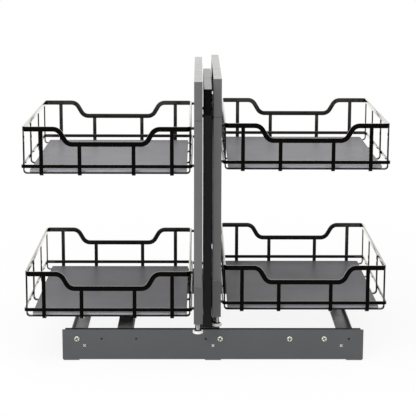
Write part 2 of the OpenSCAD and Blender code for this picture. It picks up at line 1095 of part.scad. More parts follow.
base_front_plate();
base_rear_plate();
base_left_bar();
base_centre_bar();
base_right_bar();
front_rail();
rear_rail();
rail_screws();
star_fixings();
rail_stops();
front_runner();
rear_runner();
left_crossbar();
post_crossbar();
carriage_bolts();
post_front_upright();
post_rear_upright();
post_top_beam();
post_bottom_beam();
post_cap();
post_foot_bracket();
left_slide_outers();
right_slide_outers();
left_slide_middles();
right_slide_middles();
left_slide_inners();
left_front_upright();
left_rear_upright();
left_top_beam();
left_bottom_beam();
left_top_corner();
left_bottom_corner();
left_upper_basket();
left_lower_basket();
left_upper_panel();
left_lower_panel();
left_studs();
left_foot_stem();
left_foot_pad();
right_slide_inners();
right_front_upright();
right_rear_upright();
right_top_beam();
right_bottom_beam();
right_top_corner();
right_bottom_corner();
right_upper_basket();
right_lower_basket();
right_upper_panel();
right_lower_panel();
right_studs();
right_foot_stem();
right_foot_pad();
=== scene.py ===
# %% [markdown]
# # A blind corner organizer
# This lesson dresses a kitchen corner organizer: a dark grey base with sideways slides, a black
# post that rides on it, and two grey frames that pull out with two wire baskets each.
# The solid model is loaded first, so every piece below goes where that model says. The sizes of its
# pieces are written in millimetres, and mm turns them into Blender's metres; the studio is in metres.

# %% Load the frame
import json
import math

import bpy
import bmesh
from mathutils import Matrix, Vector


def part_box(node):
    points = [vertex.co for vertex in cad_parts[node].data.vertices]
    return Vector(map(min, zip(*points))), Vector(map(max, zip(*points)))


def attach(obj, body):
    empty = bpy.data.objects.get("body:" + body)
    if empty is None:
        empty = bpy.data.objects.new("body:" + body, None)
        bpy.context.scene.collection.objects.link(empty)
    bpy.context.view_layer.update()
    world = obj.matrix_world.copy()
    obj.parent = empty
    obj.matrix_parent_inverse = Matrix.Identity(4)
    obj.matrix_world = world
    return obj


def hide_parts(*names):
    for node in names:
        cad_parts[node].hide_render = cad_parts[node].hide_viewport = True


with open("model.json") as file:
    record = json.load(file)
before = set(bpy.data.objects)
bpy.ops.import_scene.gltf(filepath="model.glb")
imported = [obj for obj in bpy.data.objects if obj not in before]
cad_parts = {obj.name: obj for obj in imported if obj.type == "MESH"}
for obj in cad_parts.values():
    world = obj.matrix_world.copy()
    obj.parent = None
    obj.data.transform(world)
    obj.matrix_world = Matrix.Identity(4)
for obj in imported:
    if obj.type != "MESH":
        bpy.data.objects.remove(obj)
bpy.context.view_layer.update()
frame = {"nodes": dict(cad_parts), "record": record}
mm = 0.001

# %% [markdown]
# ## The camera
# The picture was taken from about three metres away, a little above the organizer. A tracking
# constraint could aim the camera, but a product photographer also shifts the lens, which keeps
# upright lines upright. So the lens is shifted here, a small downward tilt does the rest, and the
# matrix is written out from the camera's three directions.

# %% Camera
eye = Vector((-37.0, -3208.3, 1060.4)) * mm
tilt, turn, roll = 0.166, 0.0079, 0.0031
picture_px, focus_px, shift_px = 416, 1247.5, 76
sensor_mm = 36

ahead = Vector((math.sin(turn) * math.cos(tilt), math.cos(turn) * math.cos(tilt), -math.sin(tilt)))
level_right = Vector((math.cos(turn), -math.sin(turn), 0))
level_up = level_right.cross(ahead)
right = level_right * math.cos(roll) + level_up * math.sin(roll)
up = level_up * math.cos(roll) - level_right * math.sin(roll)

camera_data = bpy.data.cameras.new("camera")
camera_data.sensor_width = sensor_mm
camera_data.lens = focus_px * sensor_mm / picture_px
camera_data.shift_y = -shift_px / picture_px
camera = bpy.data.objects.new("camera", camera_data)
bpy.context.scene.collection.objects.link(camera)
camera.matrix_world = Matrix((
    (right.x, up.x, -ahead.x, eye.x),
    (right.y, up.y, -ahead.y, eye.y),
    (right.z, up.z, -ahead.z, eye.z),
    (0, 0, 0, 1),
))
bpy.context.scene.camera = camera
bpy.context.scene.view_settings.view_transform = "Standard"
print("camera lens", round(camera_data.lens, 1), "mm")

# %% [markdown]
# ## Node helpers
# Materials are trees of nodes. They can be wired by hand in the shader editor; in a script, one
# helper that adds a node, sets its numbers and links its sockets keeps every tree below short.

# %% Node helpers
def new_material(name):
    material = bpy.data.materials.new(name)
    material.use_nodes = True
    material.node_tree.nodes.clear()
    return material, material.node_tree


def add_node(tree, kind, inputs=None, **settings):
    # settings are the node's own choices; each input is a value to set or a socket to link
    node = tree.nodes.new("ShaderNode" + kind)
    for label, value in settings.items():
        setattr(node, label, value)
    for label, value in (inputs or {}).items():
        if isinstance(value, bpy.types.NodeSocket):
            tree.links.new(value, node.inputs[label])
        else:
            node.inputs[label].default_value = value
    return node


def math_node(tree, operation, a, b):
    return add_node(tree, "Math", {0: a, 1: b}, operation=operation).outputs[0]


def seen_directly(tree):
    # 1 for rays from the camera, a reflection or glass, 0 for light that only bounces
    ray = add_node(tree, "LightPath").outputs
    seen = math_node(tree, "MAXIMUM", ray["Is Camera Ray"], ray["Is Glossy Ray"])
    return math_node(tree, "MAXIMUM", seen, ray["Is Transmission Ray"])


print("node helpers ready")

# %% [markdown]
# ## The white floor
# The organizer stands on a white sweep. Lit paper alone comes out grey in places, and a glowing
# floor alone loses the shadow. So what is seen directly is a plain white glow, and close to the
# organizer a share of the lit paper shows through it and keeps the shadow.

# %% Floor
paper_white = 0.82
shadow_near, shadow_far, glow_share = 0.55, 1.5, 0.9
floor_reach, floor_drop = 14, 0.0002


def floor_material():
    material, tree = new_material("studio_floor")
    paper = add_node(tree, "BsdfDiffuse", {"Color": (paper_white, paper_white, paper_white, 1)})
    glow = add_node(tree, "Emission", {"Strength": 1.0})
    place = add_node(tree, "NewGeometry")
    away = add_node(tree, "VectorMath", {0: place.outputs["Position"]}, operation="LENGTH")
    fade = add_node(tree, "MapRange", {
        "Value": away.outputs["Value"], "From Min": shadow_near, "From Max": shadow_far,
        "To Min": glow_share, "To Max": 1.0}, interpolation_type="SMOOTHSTEP")
    share = math_node(tree, "MULTIPLY", seen_directly(tree), fade.outputs["Result"])
    mix = add_node(tree, "MixShader", {"Fac": share, 1: paper.outputs[0], 2: glow.outputs[0]})
    add_node(tree, "OutputMaterial", {"Surface": mix.outputs[0]})
    return material


floor_mesh = bpy.data.meshes.new("floor")
floor_corners = [(x * floor_reach, y * floor_reach, 0) for x, y in ((-1, -1), (1, -1), (1, 1), (-1, 1))]
floor_mesh.from_pydata(floor_corners, [], [(0, 1, 2, 3)])
floor = bpy.data.objects.new("floor", floor_mesh)
floor.location.z = -floor_drop
floor_mesh.materials.append(floor_material())
bpy.context.scene.collection.objects.link(floor)
print("floor", 2 * floor_reach, "m across")

# %% [markdown]
# ## Lamps and world
# A world colour alone would light everything, but flatly. Three soft lamps, a wide one above, a key
# at the front left and a weak one at the right, make the gradients on the paint, and a pale world
# fills the shadows. Like the floor, the world is plain white where it is seen directly.

# %% Lamps and world
def lamp(name, spot, aim, size, power):
    light = bpy.data.lights.new(name, "AREA")
    light.shape = "RECTANGLE"
    light.size, light.size_y = size
    light.energy = power
    obj = bpy.data.objects.new(name, light)
    bpy.context.scene.collection.objects.link(obj)
    obj.location = spot
    obj.rotation_euler = (Vector(aim) - Vector(spot)).to_track_quat("-Z", "Y").to_euler()


lamp("overhead_softbox", spot=(-0.2, -0.3, 3.0), aim=(0, 0, 0.3), size=(3.2, 2.8), power=74)
lamp("key_softbox", spot=(-2.3, -2.7, 2.3), aim=(0, 0, 0.45), size=(1.8, 1.8), power=64)
lamp("side_softbox", spot=(3.2, -1.6, 1.7), aim=(0.1, 0, 0.35), size=(1.6, 2.2), power=8)

white = (1, 1, 1, 1)
fill_strength = 0.42
world = bpy.data.worlds.new("white_studio")
bpy.context.scene.world = world
world.use_nodes = True
sky = world.node_tree
sky.nodes.clear()
fill = add_node(sky, "Background", {"Color": white, "Strength": fill_strength})
backdrop = add_node(sky, "Background", {"Color": white, "Strength": 1.0})
mix = add_node(sky, "MixShader", {"Fac": seen_directly(sky), 1: fill.outputs[0], 2: backdrop.outputs[0]})
add_node(sky, "OutputWorld", {"Surface": mix.outputs[0]})
print("lamps:", [light.name for light in bpy.data.lights])

# %% [markdown]
# ## Shared surface effects
# Several finishes share the same small things: grain, handling marks, rubbed edges, dust and drawn
# lines; on the frames and the post the dust also paints the sheen of their tops. They could be copied
# into each material, but then each change is made many times. So each effect is one node group with
# named sockets, and each finish places it with its own values. Every noise lies in the object's own
# space, so it stays put when the piece moves.

# %% Group helpers
def effect_group(name, inputs, outputs):
    tree = bpy.data.node_groups.new(name, "ShaderNodeTree")
    for label, value in inputs.items():
        socket = tree.interface.new_socket(label, in_out="INPUT", socket_type="NodeSocketFloat")
        socket.default_value = value
    for label in outputs:
        tree.interface.new_socket(label, in_out="OUTPUT", socket_type="NodeSocketFloat")
    start = tree.nodes.new("NodeGroupInput")
    end = tree.nodes.new("NodeGroupOutput")
    return tree, start.outputs, end.inputs


def own_noise(tree, **inputs):
    place = add_node(tree, "TexCoord")
    return add_node(tree, "TexNoise", {"Vector": place.outputs["Object"], **inputs}).outputs["Fac"]


print("group helpers ready")

# %% [markdown]
# ### Powder grain
# Powder coat melts into a skin with a fine orange peel and slow clouds of tone. A photograph could
# give that, but two noises do it at any scale: the fine one is also the height for the bump.

# %% Powder grain group
peel_share, cloud_share = 0.55, 0.45
grain_group, start, end = effect_group("powder_grain", {"Size": 900.0, "Depth": 1.0}, ["Tone", "Height"])
peel = own_noise(grain_group, Scale=start["Size"], Detail=3, Roughness=0.6)
cloud = own_noise(grain_group, Scale=14, Detail=4)
tone = math_node(grain_group, "ADD", math_node(grain_group, "MULTIPLY", peel, peel_share),
                 math_node(grain_group, "MULTIPLY", cloud, cloud_share))
grain_group.links.new(tone, end["Tone"])
grain_group.links.new(math_node(grain_group, "MULTIPLY", peel, start["Depth"]), end["Height"])
print("powder grain nodes:", len(grain_group.nodes))

# %% [markdown]
# ### Handling marks
# Hands and cloths leave slow smudges that move the gloss up and down. One number for roughness would
# look like a fresh render; a warped noise between a low and a high roughness looks used.

# %% Handling group
handling_group, start, end = effect_group(
    "handling_marks", {"Low": 0.3, "High": 0.45, "Size": 9.0}, ["Gloss"])
smudge = own_noise(handling_group, Scale=start["Size"], Detail=5, Distortion=0.6)
spread = add_node(handling_group, "MapRange", {
    "Value": smudge, "From Min": 0.35, "From Max": 0.68, "To Min": start["Low"], "To Max": start["High"]})
handling_group.links.new(spread.outputs["Result"], end["Gloss"])
print("handling marks nodes:", len(handling_group.nodes))

# %% [markdown]
# ### Edge wear
# Paint rubs pale on its edges first. A pointiness node finds edges, but only on dense meshes. The
# softened edges made below carry a face attribute, worn_edge, and a noise breaks it into patches.

# %% Edge wear group
wear_group, start, end = effect_group("edge_wear", {"Amount": 0.5, "Patch Size": 60.0}, ["Mask"])
edge = add_node(wear_group, "Attribute", attribute_name="worn_edge")
patch = own_noise(wear_group, Scale=start["Patch Size"], Detail=4)
cut = add_node(wear_group, "MapRange", {"Value": patch, "From Min": 0.42, "From Max": 0.62})
worn = math_node(wear_group, "MULTIPLY", edge.outputs["Fac"], cut.outputs["Result"])
wear_group.links.new(math_node(wear_group, "MULTIPLY", worn, start["Amount"]), end["Mask"])
print("edge wear nodes:", len(wear_group.nodes))

# %% [markdown]
# ### Settled dust and painted top sheen
# Dust lies where a surface faces up, thicker in slow patches. It could be a layer of particles, but
# a mask from the upward part of the normal is enough at this size. Laid on thick and pale, as on the
# frames and the post, the same mask also paints the sheen that their upward faces show.

# %% Dust and sheen group
dust_and_sheen_group, start, end = effect_group("dust_and_top_sheen", {"Amount": 0.2}, ["Mask"])
facing = add_node(dust_and_sheen_group, "NewGeometry")
split = add_node(dust_and_sheen_group, "SeparateXYZ", {0: facing.outputs["Normal"]})
drift = own_noise(dust_and_sheen_group, Scale=22, Detail=6)
rise = math_node(dust_and_sheen_group, "MAXIMUM", split.outputs["Z"], 0.0)
upward_dust_and_sheen = math_node(dust_and_sheen_group, "MULTIPLY", rise, drift)
dust_and_sheen_group.links.new(math_node(dust_and_sheen_group, "MULTIPLY", upward_dust_and_sheen, start["Amount"]), end["Mask"])
print("settled dust nodes:", len(dust_and_sheen_group.nodes))

# %% [markdown]
# ### Drawn lines
# Rolled steel and coated board both show faint lines along one direction. A wave texture is too
# regular for them; a noise squeezed across the lines and stretched along them looks right.

# %% Drawn lines group
line_group, start, end = effect_group(
    "drawn_lines", {"Scale X": 300.0, "Scale Y": 300.0, "Scale Z": 300.0, "Amount": 0.5}, ["Mask"])
place = add_node(line_group, "TexCoord")
scales = add_node(line_group, "CombineXYZ", {axis: start["Scale " + axis] for axis in "XYZ"})
pull = add_node(line_group, "VectorMath", {0: place.outputs["Object"], 1: scales.outputs[0]},
                operation="MULTIPLY")
fibre = add_node(line_group, "TexNoise", {"Vector": pull.outputs[0], "Scale": 1, "Detail": 3})
line_group.links.new(math_node(line_group, "MULTIPLY", fibre.outputs["Fac"], start["Amount"]), end["Mask"])
print("effects:", [group.name for group in bpy.data.node_groups])

# %% [markdown]
# ## The finish maker
# Every finish is one Principled shader fed by the shared effects: two close tones mixed by the
# grain, then lines, rubbed edges and dust laid over them, and gloss from the handling marks. Each
# could be its own tree, but paint, metal and board differ only in a few values, so one function
# makes them all. Lines are given as scales, amount and tint; wear as amount, patch size and tint;
# dust, which thick and pale also paints sheen on upward faces, as amount and tint; the painted rear
# reflection as two depths and a tint; glance as a tint alone.

# %% Blending helpers
def place_group(tree, group, **values):
    node = add_node(tree, "Group", node_tree=group)
    for label, value in values.items():
        node.inputs[label.replace("_", " ")].default_value = value
    return node.outputs


def blend_colour(tree, factor, under, over):
    first, second = ((*c, 1) if isinstance(c, tuple) else c for c in (under, over))
    return add_node(tree, "Mix", {"Factor": factor, 6: first, 7: second}, data_type="RGBA").outputs[2]


def painted_rear_reflection_mask(tree, near, far):
    # 0 at the front of a piece, 1 at its back, where the painted reflection is strongest
    place = add_node(tree, "TexCoord")
    split = add_node(tree, "SeparateXYZ", {0: place.outputs["Object"]})
    depth = {"Value": split.outputs["Y"], "From Min": near, "From Max": far}
    return add_node(tree, "MapRange", depth).outputs["Result"]


def glance_mask(tree):
    # 0 where plating is seen square on, 1 where it is seen at a low angle
    edge_on = add_node(tree, "LayerWeight", {"Blend": 0.5})
    low_angle = {"Value": edge_on.outputs["Facing"], "From Min": 0.5, "From Max": 0.86}
    return add_node(tree, "MapRange", low_angle).outputs["Result"]


print("blending helpers ready")

# %% Finish maker
finishes = {}
peel_height = 0.4 * mm


def finish(name, tones, gloss, grain=900, peel=0.12, cloud=9.0, metal=0.0, mirror=0.5,
           lines=None, wear=None, dust=None, rear_reflection=None, glance=None):
    material, tree = new_material(name)
    texture = place_group(tree, grain_group, Size=grain, Depth=1.0)
    colour = blend_colour(tree, texture["Tone"], *tones)
    if lines:
        (x, y, z), amount, tint = lines
        drawn = place_group(tree, line_group, Scale_X=x, Scale_Y=y, Scale_Z=z, Amount=amount)
        colour = blend_colour(tree, drawn["Mask"], colour, tint)
    if wear:
        amount, patch_size, tint = wear
        rubbed = place_group(tree, wear_group, Amount=amount, Patch_Size=patch_size)
        colour = blend_colour(tree, rubbed["Mask"], colour, tint)
    # dust, and where it is laid on thick and pale, a painted sheen on upward faces
    if dust:
        amount, tint = dust
        dust_and_sheen_layer = place_group(tree, dust_and_sheen_group, Amount=amount)
        colour = blend_colour(tree, dust_and_sheen_layer["Mask"], colour, tint)
    # painted reflection: the colour turns lighter towards the back of the piece
    if rear_reflection:
        (near, far), tint = rear_reflection
        colour = blend_colour(tree, painted_rear_reflection_mask(tree, near, far), colour, tint)
    if glance:
        colour = blend_colour(tree, glance_mask(tree), colour, glance)
    marks = place_group(tree, handling_group, Low=gloss[0], High=gloss[1], Size=cloud)
    bump = add_node(tree, "Bump", {"Strength": peel, "Distance": peel_height, "Height": texture["Height"]})
    skin = add_node(tree, "BsdfPrincipled", {
        "Base Color": colour, "Roughness": marks["Gloss"], "Normal": bump.outputs["Normal"],
        "Metallic": metal, "Specular IOR Level": mirror})
    add_node(tree, "OutputMaterial", {"Surface": skin.outputs[0]})
    finishes[name] = material


print("finish maker ready, peel height", peel_height, "m")

# %% [markdown]
# ## The paints
# The base, the frames and the post are powder coated. Plain colours would do for a sketch; here each
# paint is two close greys with its own peel, rubbed edges and dust, and the post is nearly black. On
# the frames and the post the dust is thick and pale, so it also paints the sheen of their tops.

# %% Paints
def grey(level):
    return (level, level, level)


finish("base_paint", ((0.07, 0.074, 0.078), (0.099, 0.103, 0.108)), (0.3, 0.42), grain=1400, peel=0.2,
       mirror=0.4, wear=(0.35, 70, (0.2, 0.205, 0.21)), dust=(0.1, (0.26, 0.26, 0.25)))
# the frames and the post carry thick pale dust, which also paints the sheen of their tops
finish("frame_paint", ((0.1, 0.1, 0.103), (0.145, 0.145, 0.148)), (0.16, 0.25), grain=1100, peel=0.05,
       mirror=0.5, wear=(0.4, 60, grey(0.3)), dust=(0.42, (0.43, 0.43, 0.33)))
finish("post_paint", (grey(0.003), grey(0.007)), (0.15, 0.22), grain=1000, peel=0.04,
       mirror=0.15, wear=(0.3, 60, grey(0.05)), dust=(0.54, (0.37, 0.37, 0.29)))
print("paints:", list(finishes))

# %% [markdown]
# ## Metal, board and plastic
# The slides are black rolled steel with lines along their length, and the baskets are plated black
# nickel. Such plating mirrors little when seen square on and much at a low angle. Its rear strips are
# given a greyer colour, a painted reflection for the lighter look they have. The basket floors are
# coated board, the fixings bright zinc, and the feet white plastic with black rubber. They are all the
# same shader with other values.

# %% Metal, board and plastic
finish("slide_black", ((0.006, 0.006, 0.007), (0.014, 0.014, 0.015)), (0.2, 0.34), grain=500, peel=0.05,
       mirror=0.3, dust=(0.08, grey(0.15)), lines=((600, 5, 600), 0.6, (0.03, 0.03, 0.031)))
# the greyer tint on the rear strips is a painted reflection
finish("black_nickel", ((0.003, 0.0026, 0.0022), (0.0065, 0.0056, 0.005)), (0.07, 0.14), grain=260, peel=0.02,
       metal=1.0, cloud=16, glance=(0.75, 0.72, 0.66), rear_reflection=((-0.05, 0.22), (0.042, 0.04, 0.038)))
finish("floor_board", ((0.122, 0.123, 0.133), (0.165, 0.166, 0.178)), (0.4, 0.46), grain=700, peel=0.06,
       mirror=0.3, wear=(0.3, 50, (0.3, 0.3, 0.33)), dust=(0.05, grey(0.34)),
       lines=((7, 210, 7), 0.6, (0.1, 0.1, 0.112)))
finish("bright_zinc", ((0.68, 0.69, 0.69), (0.86, 0.87, 0.87)), (0.26, 0.4), peel=0.05, metal=1.0, cloud=60)
finish("white_plastic", ((0.9, 0.9, 0.89), (0.96, 0.96, 0.95)), (0.3, 0.42), grain=600, peel=0.05, cloud=40)
finish("black_rubber", (grey(0.012), grey(0.022)), (0.6, 0.75), peel=0.2, mirror=0.3)

slot_of = {entry["node"]: entry["material_slot"] for entry in frame["record"]["subparts"]}
bodies = frame["record"]["behaviour"]["bodies"]
body_of = {node: body for body, members in bodies.items() for node in members}
for node, obj in frame["nodes"].items():
    obj.data.materials.clear()
    obj.data.materials.append(finishes[slot_of[node]])
print("finishes:", list(finishes))

# %% [markdown]
# ## Close variants
# The same paint or plating comes out a little different on a moulded cap, a sawn edge, a joint or a
# rolled thread. The floor bars take a paler copy of the base paint, painted light where the baskets
# shade them; the bottom corners a darker copy of the frame paint, painted shade for the lower frame;
# and the screw slots the joint's dark finish as painted shade. Masks could hide that in one
# material, but a variant for each is easier to read and to change.

# %% Close variants
finish("cap_black", (grey(0.002), grey(0.004)), (0.4, 0.5), grain=800, peel=0.05, mirror=0.06,
       wear=(0.2, 60, grey(0.03)))
# painted light: the floor bars are painted paler than the base paint they share, where the baskets shade them
finish("bar_paint_painted_light", ((0.13, 0.129, 0.121), (0.165, 0.163, 0.154)), (0.24, 0.34), grain=1400, peel=0.03,
       mirror=0.65, wear=(0.35, 70, (0.25, 0.25, 0.24)), dust=(0.12, (0.3, 0.3, 0.28)))
finish("board_edge", ((0.36, 0.36, 0.4), (0.47, 0.47, 0.52)), (0.4, 0.5), peel=0.08, mirror=0.4,
       wear=(0.3, 50, (0.55, 0.55, 0.6)))
# painted shade: a darker copy of the frame paint for the bottom corners; the pale dust on their ledge partly
# paints its highlight
finish("corner_low_painted_shade", (grey(0.079), (0.112, 0.112, 0.111)), (0.2, 0.3), grain=1100, peel=0.05, mirror=0.4,
       wear=(0.7, 60, (0.34, 0.32, 0.3)), dust=(0.3, (0.45, 0.43, 0.4)))
finish("crossbar_grey", ((0.14, 0.138, 0.133), (0.185, 0.183, 0.176)), (0.5, 0.62), grain=1100, peel=0.08,
       mirror=0.12, wear=(0.3, 70, grey(0.15)), dust=(0.1, (0.25, 0.25, 0.24)))
finish("rail_black", ((0.006, 0.006, 0.007), (0.014, 0.014, 0.015)), (0.34, 0.46), grain=500, peel=0.05,
       mirror=0.06, dust=(0.04, grey(0.12)), lines=((5, 600, 600), 0.6, (0.03, 0.03, 0.031)))
# dark joints between frame parts, and painted shade in the screw slots
finish("dark_joint_and_slot_shade", (grey(0.012), grey(0.03)), (0.5, 0.65), peel=0.05, mirror=0.2)
finish("screw_zinc", ((0.6, 0.58, 0.53), (0.8, 0.78, 0.72)), (0.24, 0.38), peel=0.05, metal=1.0, cloud=60)
finish("thread_zinc", (grey(0.3), grey(0.5)), (0.2, 0.34), peel=0.05, metal=1.0, cloud=60)
print("variants:", [name for name in finishes if name not in slot_of.values()])

# %% [markdown]
# ## Softened metalwork
# Sheet, tube and cast pieces never have knife edges: a small radius catches a line of light. A bevel
# shader could fake it, but it leaves the mesh sharp. So the solid's own mesh is copied, its flat
# triangles are joined, and a bevel rounds each sharp edge. The new edge faces are marked, so the
# paint can be rubbed pale there.

# %% Placing helper
def place_piece(name, mesh, skins, body, nodes, spot=(0, 0, 0)):
    # a new piece that stands for solid nodes, rides on their body and takes the given finishes
    obj = bpy.data.objects.new(name, mesh)
    bpy.context.scene.collection.objects.link(obj)
    obj.location = spot
    for skin in skins:
        mesh.materials.append(finishes[skin])
    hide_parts(*nodes)
    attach(obj, body)
    return obj


print("solid pieces to dress:", len(slot_of))

# %% Softening helper
same_point = 1e-6
flat_angle, sharp_angle = math.radians(2), math.radians(35)


def softened(node, radius, segments=2, skins=None):
    shape = bmesh.new()
    shape.from_mesh(frame["nodes"][node].data)
    bmesh.ops.remove_doubles(shape, verts=shape.verts, dist=same_point)
    bmesh.ops.dissolve_limit(shape, angle_limit=flat_angle, verts=shape.verts, edges=shape.edges)
    worn_layer = shape.faces.layers.float.new("worn_edge")
    sharp = [e for e in shape.edges if len(e.link_faces) == 2 and e.calc_face_angle() > sharp_angle]
    made = bmesh.ops.bevel(shape, geom=sharp, offset=radius * mm, segments=segments, profile=0.5,
                           affect="EDGES", clamp_overlap=True)
    for face in shape.faces:
        face.smooth = True
    for face in made["faces"]:
        face[worn_layer] = 1.0
    mesh = bpy.data.meshes.new("soft_" + node)
    shape.to_mesh(mesh)
    shape.free()
    obj = place_piece("soft_" + node, mesh, skins or [slot_of[node]], body_of[node], [node])
    obj.modifiers.new("flat_faces_stay_flat", "WEIGHTED_NORMAL").keep_sharp = True
    return obj


print("edges sharper than", round(math.degrees(sharp_angle)), "degrees are softened")

# %% [markdown]
# ### The two frames
# Each pull-out frame is tube with cast corners, and carries a coated board in each basket. A dark
# line shows where the front upright meets its top corner, and the boards are paler where they were
# sawn. Both could be painted by a mask; choosing faces by their place or slope is simpler here.

# %% Frames
edge_radius = {
    "front_upright": 0.8, "rear_upright": 0.8, "top_beam": 0.8, "bottom_beam": 0.8,
    "top_corner": 1.2, "bottom_corner": 2.0, "upper_panel": 0.8, "lower_panel": 0.8, "studs": 0.5,
}
skins_of = {
    "upper_panel": ["floor_board", "board_edge"], "lower_panel": ["floor_board", "board_edge"],
    "top_corner": ["frame_paint", "dark_joint_and_slot_shade"], "front_upright": ["frame_paint", "dark_joint_and_slot_shade"],
    # the bottom corners take the darker corner paint, which is painted shade
    "bottom_corner": ["corner_low_painted_shade"],
}
joint_half, sawn_rise = 1.3, 0.4
for side in ("left", "right"):
    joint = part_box(f"{side}_front_upright")[1].z
    for piece, radius in edge_radius.items():
        obj = softened(f"{side}_{piece}", radius, skins=skins_of.get(piece))
        for face in obj.data.polygons:
            beside_joint = abs(face.center.z - joint) < joint_half * mm
            at_joint = piece in ("top_corner", "front_upright") and beside_joint
            sawn = piece.endswith("panel") and abs(face.normal.z) < sawn_rise
            if at_joint or sawn:
                face.material_index = 1
print("frame pieces on each side:", len(edge_radius))

# %% [markdown]
# ### Post, base and slides
# The rest only needs its edges softened. One radius for all would be shorter, but the rounding would
# eat the thin slide members, so they get a smaller one, and the moulded post cap gets finer steps.
# The cap's top takes the post's paint, whose dust also paints a pale sheen there; the bars take
# their paler paint, which is painted light, and the rails take their variant.

# %% Post, base and slides
facing_up = 0.5
for part in ("front_upright", "rear_upright", "top_beam", "bottom_beam", "foot_bracket"):
    softened(f"post_{part}", radius=0.8)
cap = softened("post_cap", radius=0.8, segments=3, skins=["cap_black", "post_paint"])
# the cap's upward faces take the post paint, whose dust also paints a pale sheen on them
for face in cap.data.polygons:
    if face.normal.z > facing_up:
        face.material_index = 1
for node in ("base_front_plate", "base_rear_plate"):
    softened(node, radius=0.8)
for node in ("base_left_bar", "base_centre_bar", "base_right_bar"):
    # the bars' paler paint is painted light
    softened(node, radius=0.6, skins=["bar_paint_painted_light"])
for node in ("left_crossbar", "post_crossbar"):
    softened(node, radius=0.8, skins=["crossbar_grey"])
softened("carriage_bolts", radius=0.4)
for node in ("front_rail", "rear_rail", "front_runner", "rear_runner"):
    softened(node, radius=0.4, skins=["rail_black"])
softened("rail_stops", radius=1.0)
for side in ("left", "right"):
    for member in ("outers", "middles", "inners"):
        softened(f"{side}_slide_{member}", radius=0.4)

# %% [markdown]
# ## The wire baskets
# Each basket is bent and welded from flat strip: a high rim that dips at the front and back, a low
# band, and strips that run under the floor and up the sides. Bevelled curves can make wire, but a
# flat strip twists on them. So a rounded section is carried along each path with its sideways
# direction given, and the gloss runs round the bends without a break.

# %% Sizes of the strips
basket_w, basket_d, basket_h = 403, 450, 120
rim_h, rim_t, rim_r, rim_round = 12, 5, 12, 1.6
dip, dip_half, dip_r, dip_angle = 36.5, 81, 22, 60
band_h, band_t, band_z, band_r, band_round = 8.5, 4, 23, 4, 1.3
strip_w, strip_t, strip_r, strip_round = 9.5, 3.5, 9, 1.1
strips_over_depth = (-156, -64.5, 64.5, 156)
strips_over_width = (-209, -77, 77, 209)
weld = 1
dip_steps, rim_steps, band_steps, strip_steps = 9, 8, 6, 6
corners = ((1, -1), (1, 1), (-1, 1), (-1, -1))
print("basket", basket_w, "x", basket_d, "x", basket_h, "mm")

# %% Strip section and sweep
def strip_section(thick, tall, radius, steps=3):
    points = []
    for corner, (sx, sy) in enumerate(((1, 1), (-1, 1), (-1, -1), (1, -1))):
        for i in range(steps + 1):
            angle = math.pi / 2 * (corner + i / steps)
            points.append((sx * (thick / 2 - radius) + radius * math.cos(angle),
                           sy * (tall / 2 - radius) + radius * math.sin(angle)))
    return points


def sweep(shape, path, section, closed):
    # path holds (point, sideways direction); the section lies across it
    rings = []
    count = len(path)
    for i, (point, side) in enumerate(path):
        before = path[i - 1][0] if closed or i else point
        after = path[(i + 1) % count][0] if closed or i < count - 1 else point
        rise = (after - before).normalized().cross(side).normalized()
        rings.append([shape.verts.new((point + side * a + rise * b) * mm) for a, b in section])
    size = len(section)
    for i in range(count if closed else count - 1):
        ring, following = rings[i], rings[(i + 1) % count]
        for k in range(size):
            shape.faces.new((ring[k], ring[(k + 1) % size], following[(k + 1) % size], following[k]))
    if not closed:
        shape.faces.new(rings[0][::-1])
        shape.faces.new(rings[-1])


print("points in a strip's section:", len(strip_section(rim_t, rim_h, rim_round)))

# %% [markdown]
# ### The rim and the band
# The rim goes once round the basket and dips in the middle of both long sides, in four equal bends
# with a straight slope down and up. It could be drawn by hand as a curve; worked out from the dip's
# depth, width, radius and angle, it stays smooth when one of them changes. The low band is level all
# round, so it only needs the rim's rounded corners.

# %% Rim path
def arc(centre, radius, first, last, steps):
    angles = [math.radians(first + (last - first) * i / steps) for i in range(steps + 1)]
    return [(centre[0] + radius * math.cos(a), centre[1] + radius * math.sin(a)) for a in angles]


def round_corner(quarter, half_x, half_y, radius, height, steps):
    # one rounded corner of a level strip, as (point, outward direction)
    sx, sy = corners[quarter]
    centre = (sx * (half_x - radius), sy * (half_y - radius))
    first = -90 + 90 * quarter
    return [(Vector((x, y, height)), Vector((x - centre[0], y - centre[1], 0)).normalized())
            for x, y in arc(centre, radius, first, first + 90, steps)]


def rim_line():
    # one long side of the rim from left to right, as (along, height)
    steep, flat = math.sin(math.radians(dip_angle)), math.cos(math.radians(dip_angle))
    high, low = basket_h - rim_h / 2, basket_h - rim_h / 2 - dip
    run = (dip - 2 * dip_r * (1 - flat)) / steep
    outer = dip_half + 2 * dip_r * steep + run * flat
    half = arc((-outer, high - dip_r), dip_r, 90, 90 - dip_angle, dip_steps)
    half += arc((-dip_half, low + dip_r), dip_r, 270 - dip_angle, 270, dip_steps)
    return half + [(-x, z) for x, z in reversed(half)]


def rim_path():
    end_x, side_y = basket_w / 2 - rim_t / 2, basket_d / 2 - rim_t / 2
    path = []
    for quarter, (sx, sy) in enumerate(corners):
        if sx == -sy:
            line = rim_line() if sy < 0 else rim_line()[::-1]
            path += [(Vector((x, sy * side_y, z)), Vector((0, sy, 0))) for x, z in line]
        path += round_corner(quarter, end_x, side_y, rim_r - rim_t / 2, basket_h - rim_h / 2, rim_steps)
    return path


print("points round the rim:", len(rim_path()))

# %% [markdown]
# ### The whole basket
# Rim, band and strips are swept into one mesh, because they are welded into one piece. The strips
# under the dip end lower, each reaches a millimetre into the rim, and the two directions cross one
# above the other. All four baskets are alike, so they share the mesh.

